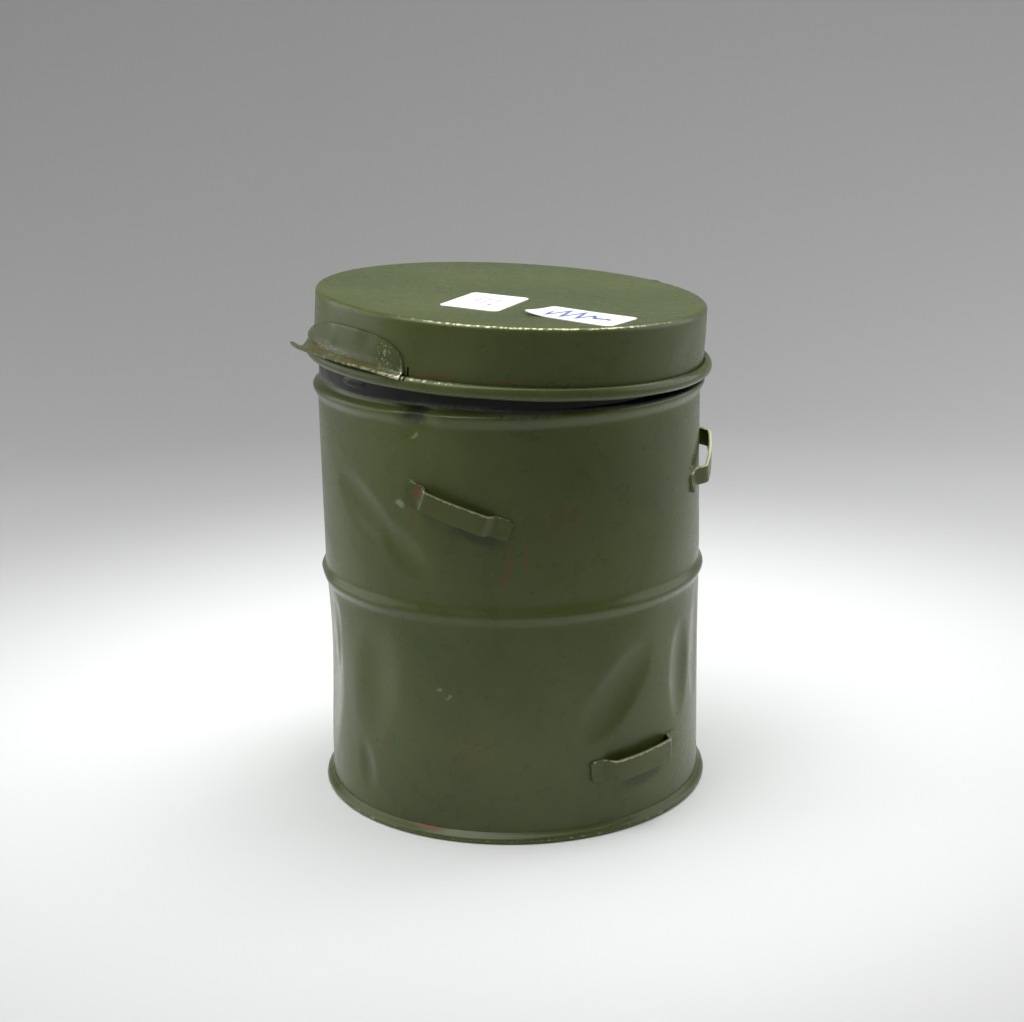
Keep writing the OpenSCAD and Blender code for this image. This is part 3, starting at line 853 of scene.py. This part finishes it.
edge_wear = ramp(height, tab_edge(azimuth) - 0.8, tab_edge(azimuth) - 0.1)
edge_wear = edge_wear * (radius < SKIRT_R + 1.6)
side_wear = ramp(azimuth, TAB_RIGHT - 1.0, TAB_RIGHT - 0.2)
rim_wear = ramp(radius, lip_edge(azimuth) - 1.0, lip_edge(azimuth) - 0.2)
bend_wear = ramp(np.abs(height - 5.2), 1.5, 0.2) * (radius < SKIRT_R + 2.6)
mark_wear_and_sheen(
    tab,
    (0.30 + 0.2 * toward) * edge_wear
    + 0.45 * side_wear
    + (0.42 + 0.3 * toward) * rim_wear
    + (0.34 + 0.16 * toward) * bend_wear,
)
lay_lid(tab)
tab_enamel = olive_enamel("olive_enamel_tab", 1.13)
for at, size, share in [(-104, (13, 1.0), 0.6), (-84, (12, 0.9), 0.6), (-110, (9, 3.0), 0.22)]:
    rust = patch(tab_enamel, at, resting_height(at, 5.6), size, 3.0, radius=64.5, ragged=2.0)
    lay_over(tab_enamel, weaker(tab_enamel, rust, share), "#5A4426", 0.5)
# bright flecks of some 0.8 mm where the plate has been knocked, thicker beside its right edge
place = add(tab_enamel, "TexCoord").outputs["Object"]
flecks = add(tab_enamel, "TexNoise", {"Vector": place, "Scale": 1500, "Detail": 2.0}).outputs[0]
flecks = add(tab_enamel, "MapRange", {0: flecks, 1: 0.58, 2: 0.66}).outputs[0]
for at, high, size in [(-75, 8.5, (4, 6)), (-99, 6.3, (19, 2.2))]:
    bare = patch(tab_enamel, at, resting_height(at, high), size, 3.0, radius=64.5, ragged=3.0)
    bare = add(tab_enamel, "Math", {0: bare, 1: flecks}, operation="MULTIPLY").outputs[0]
    lay_over(tab_enamel, weaker(tab_enamel, bare, 0.75), "#B4B39A", 0.35)
finish(tab, tab_enamel, "lid", "lid_tab", 40)

# --- Labels --------------------------------------------------------------------
# Two white paper stickers, 30 by 20 mm with rounded corners, are stuck on the lid. One
# carries only faint grey print, here plain dots. On the other, which lifts at a corner,
# is a scribble in blue pen, here a zigzag.
LABEL_L, LABEL_W, LABEL_T, LABEL_CORNER = 30.2, 19.4, 0.2, 2.2


def label(name, node, at, turn, lift, material):
    """Rounds a plane's corners, cuts it into strips so that it can bend, and lays it."""
    bpy.ops.object.select_all(action="DESELECT")
    bpy.ops.mesh.primitive_plane_add(size=1)
    paper = bpy.context.active_object
    paper.name = paper.data.name = name
    paper.data.transform(Matrix.Diagonal((LABEL_L * MM, LABEL_W * MM, 1, 1)))
    bpy.ops.object.mode_set(mode="EDIT")
    bpy.ops.mesh.select_all(action="SELECT")
    bpy.ops.mesh.bevel(offset=LABEL_CORNER * MM, segments=7, affect="VERTICES")
    for across in ((1, 0, 0), (0, 1, 0)):
        reach = LABEL_L / 2 if across[0] else LABEL_W / 2
        for cut_at in np.arange(-reach + 1, reach, 1.0):
            bpy.ops.mesh.select_all(action="SELECT")
            bpy.ops.mesh.bisect(plane_co=Vector(across) * cut_at * MM, plane_no=across)
    bpy.ops.object.mode_set(mode="OBJECT")
    x, y, z = read_points(paper).T
    z = lift(x, y)
    c, d = cos(radians(turn)), sin(radians(turn))
    px, py = at[0] + x * c - y * d, at[1] + x * d + y * c
    write_points(paper, np.column_stack([px, py, LID_H + z + top_waves(px, py)]))
    if paper.data.polygons[0].normal.z < 0:
        paper.data.flip_normals()
    thicken(paper, LABEL_T)
    lay_lid(paper)
    finish(paper, material, "lid", node, 40)


def label_paper(name, at, turn):
    """Uncoated white sticker paper: matt, with a trace of fibre. Returns the finish and the place
    on the label, in mm from its middle."""
    made = bpy.data.materials.new(name)
    made.use_nodes = True
    place = add(made, "TexCoord").outputs["Object"]
    fibre = add(made, "TexNoise", {"Vector": place, "Scale": 1500, "Detail": 3.0}).outputs[0]
    tone = add(
        made, "Mix", {0: fibre, 6: linear("#E6E6E4"), 7: linear("#F4F5F6")}, data_type="RGBA"
    )
    connect(made, "Base Color", tone.outputs[2])
    rough = add(made, "MapRange", {0: fibre, 3: 0.45, 4: 0.62}).outputs[0]
    connect(made, "Roughness", rough)
    bump = add(made, "Bump", {"Strength": 0.2, "Distance": 0.03 * MM, "Height": fibre})
    connect(made, "Normal", bump.outputs[0])
    rest = lid_rest @ Matrix.Translation((at[0] * MM, at[1] * MM, 0))
    spot, tilt = rest.to_translation(), (rest.to_3x3() @ Matrix.Rotation(radians(turn), 3, "Z"))
    local = add(
        made,
        "Mapping",
        {"Vector": place, "Location": spot, "Rotation": tilt.to_euler(), "Scale": (MM,) * 3},
        vector_type="TEXTURE",
    ).outputs[0]
    split = add(made, "SeparateXYZ", {0: local})
    return made, split.outputs[0], split.outputs[1], place


def maths(material, operation, *values):
    inputs = dict(enumerate(values))
    return add(material, "Math", inputs, operation=operation).outputs[0]


PLAIN_AT, PLAIN_TURN = (-20.0, -11.0), 29.6
MARKED_AT, MARKED_TURN = (-8.7, -43.6), -70.4
plain_paper, along, across, place = label_paper("white_paper_printed", PLAIN_AT, PLAIN_TURN)
dots = add(plain_paper, "TexNoise", {"Vector": place, "Scale": 620, "Detail": 1.0}).outputs[0]
dots = add(plain_paper, "MapRange", {0: dots, 1: 0.50, 2: 0.55}).outputs[0]
rows = maths(plain_paper, "PINGPONG", across, 1.5)
rows = maths(plain_paper, "LESS_THAN", rows, 0.55)
inside = maths(plain_paper, "LESS_THAN", maths(plain_paper, "ABSOLUTE", across), 5.5)
short = maths(plain_paper, "LESS_THAN", maths(plain_paper, "ABSOLUTE", along), 9.5)
dots = maths(plain_paper, "MULTIPLY", maths(plain_paper, "MULTIPLY", dots, rows), inside)
dots = maths(plain_paper, "MULTIPLY", maths(plain_paper, "MULTIPLY", dots, short), 0.85)
lay_over(plain_paper, dots, "#6C6F78")

pen_paper, along, across, place = label_paper("white_paper_pen", MARKED_AT, MARKED_TURN)
# a ball pen's line of about 0.7 mm, going up and down four times and then trailing off
zig = maths(pen_paper, "PINGPONG", maths(pen_paper, "ADD", along, 9.0), 2.5)
zig = maths(pen_paper, "MULTIPLY", zig, 4.2)
shake = add(pen_paper, "TexNoise", {"Vector": place, "Scale": 260, "Detail": 2.0}).outputs[0]
shake = maths(pen_paper, "MULTIPLY", maths(pen_paper, "SUBTRACT", shake, 0.5), 2.6)
fade = add(pen_paper, "MapRange", {0: along, 1: 0.0, 2: 6.0, 3: 1.0, 4: 0.12}).outputs[0]
zig = maths(pen_paper, "MULTIPLY", maths(pen_paper, "SUBTRACT", zig, 5.2), fade)
zig = maths(pen_paper, "ADD", zig, shake)
line = maths(pen_paper, "ABSOLUTE", maths(pen_paper, "SUBTRACT", across, zig))
width = add(pen_paper, "MapRange", {0: along, 1: 0.0, 2: 6.0, 3: 4.2, 4: 1.4}).outputs[0]
line = add(pen_paper, "MapRange", {0: line, 1: width, 2: 0.5}).outputs[0]
ends = maths(pen_paper, "LESS_THAN", maths(pen_paper, "ABSOLUTE", along), 10.4)
lay_over(pen_paper, maths(pen_paper, "MULTIPLY", line, ends), "#234A9C")


def flat_down(x, y):
    return 0.02 + 0 * x


def corner_up(x, y):
    """The corner at the label's far left has come off the lid."""
    reach = (-x - 0.55 * y) - 10.5
    return 0.02 + 0.012 * np.clip(reach, 0, None) ** 2


label("label_printed", "label_plain", PLAIN_AT, PLAIN_TURN, flat_down, plain_paper)
label("label_scribbled", "label_marked", MARKED_AT, MARKED_TURN, corner_up, pen_paper)

# --- Studio --------------------------------------------------------------------
# The canister stands on a pale floor that sweeps up all round, between two wide softboxes at its
# sides and under a third, long one. The floor's colour is a painted pool of light: near-white
# round the canister, greying with distance.
VIEW_AZ = -39.4


def from_camera(sideways, back, up):
    """A place given as the camera sees it: metres to the right, behind the object, and up."""
    a = radians(VIEW_AZ)
    return Vector((sideways * cos(a) - back * sin(a), sideways * sin(a) + back * cos(a), up))


FLOOR_Z = -0.02
FLOOR_FLAT, FLOOR_CURVE, FLOOR_TOP = 520, 380, 1100
floor_outline = [(r, FLOOR_Z) for r in (0, 120, 250, 400, FLOOR_FLAT)]
for a in range(9, 91, 9):
    out, up = FLOOR_CURVE * sin(radians(a)), FLOOR_CURVE - FLOOR_CURVE * cos(radians(a))
    floor_outline.append((FLOOR_FLAT + out, up + FLOOR_Z))
floor_outline += [(FLOOR_FLAT + FLOOR_CURVE, z) for z in (700, FLOOR_TOP)]
floor = turned("floor", floor_outline, 96)
if floor.data.polygons[0].normal.z < 0:
    floor.data.flip_normals()
smooth(floor, 60)
pale = bpy.data.materials.new("paper_sweep_painted_light_pool")
pale.use_nodes = True
pale.node_tree.nodes["Principled BSDF"].inputs["Roughness"].default_value = 0.75
place = add(pale, "TexCoord").outputs["Object"]
# painted pool of light: the floor is painted whitest within some 85 mm of a point just behind the
# canister, and grey beyond some 370 mm
behind = add(pale, "VectorMath", {0: place, 1: from_camera(0, 0.05, 0)}, operation="SUBTRACT")
level = add(pale, "VectorMath", {0: behind.outputs[0], 1: (1, 1, 0)}, operation="MULTIPLY")
level = level.outputs[0]
far = add(pale, "VectorMath", {0: level}, operation="LENGTH").outputs["Value"]
far = add(pale, "MapRange", {0: far, 1: 0.085, 2: 0.37}, interpolation_type="SMOOTHSTEP")
tone = add(
    pale,
    "Mix",
    {0: far.outputs[0], 6: linear("#FBFCFC"), 7: linear("#C9CAC9")},
    data_type="RGBA",
)
connect(pale, "Base Color", tone.outputs[2])
floor.data.materials.append(pale)


def softbox(name, at, aim, size, power, tint="#FFFFFF"):
    lamp = bpy.data.lights.new(name, "AREA")
    lamp.shape = "RECTANGLE"
    lamp.size, lamp.size_y = size
    lamp.energy = power
    lamp.color = linear(tint)[:3]
    holder = bpy.data.objects.new(name, lamp)
    bpy.context.scene.collection.objects.link(holder)
    holder.location = at
    holder.rotation_euler = (aim - at).to_track_quat("-Z", "Y").to_euler()
    holder.visible_camera = False
    return holder


softbox("softbox_above", from_camera(0, 0.02, 0.53), from_camera(0, 0.02, 0), (0.9, 0.32), 3.7)
aim = Vector((0, 0, 0.02))
softbox("softbox_left", from_camera(-0.55, 0.09, 0.30), aim, (0.6, 0.5), 1.3)
softbox("softbox_right", from_camera(0.55, 0.09, 0.30), aim, (0.6, 0.5), 1.3)
world = bpy.data.worlds.new("room")
world.use_nodes = True
world.node_tree.nodes["Background"].inputs["Color"].default_value = linear("#D8DCE0")
world.node_tree.nodes["Background"].inputs["Strength"].default_value = 0.06
bpy.context.scene.world = world

camera = bpy.data.objects.new("camera", bpy.data.cameras.new("camera"))
bpy.context.scene.collection.objects.link(camera)
camera.data.lens = 67.6
camera.data.sensor_width = 36
camera.data.clip_start = 0.01
yaw, pitch, tip = radians(39.4237), 0.272790, -0.0163499
forward = Vector((sin(yaw) * cos(pitch), cos(yaw) * cos(pitch), -sin(pitch)))
level = Vector((cos(yaw), -sin(yaw), 0))
upright = level.cross(forward)
right = cos(tip) * level + sin(tip) * upright
upward = -sin(tip) * level + cos(tip) * upright
turn = Matrix((right, upward, -forward)).transposed().to_4x4()
CAMERA_BACK, CAMERA_UP = -0.620386, 0.264797
camera.matrix_world = Matrix.Translation(from_camera(0, CAMERA_BACK, CAMERA_UP)) @ turn
bpy.context.scene.camera = camera
bpy.context.scene.view_settings.view_transform = "Standard"
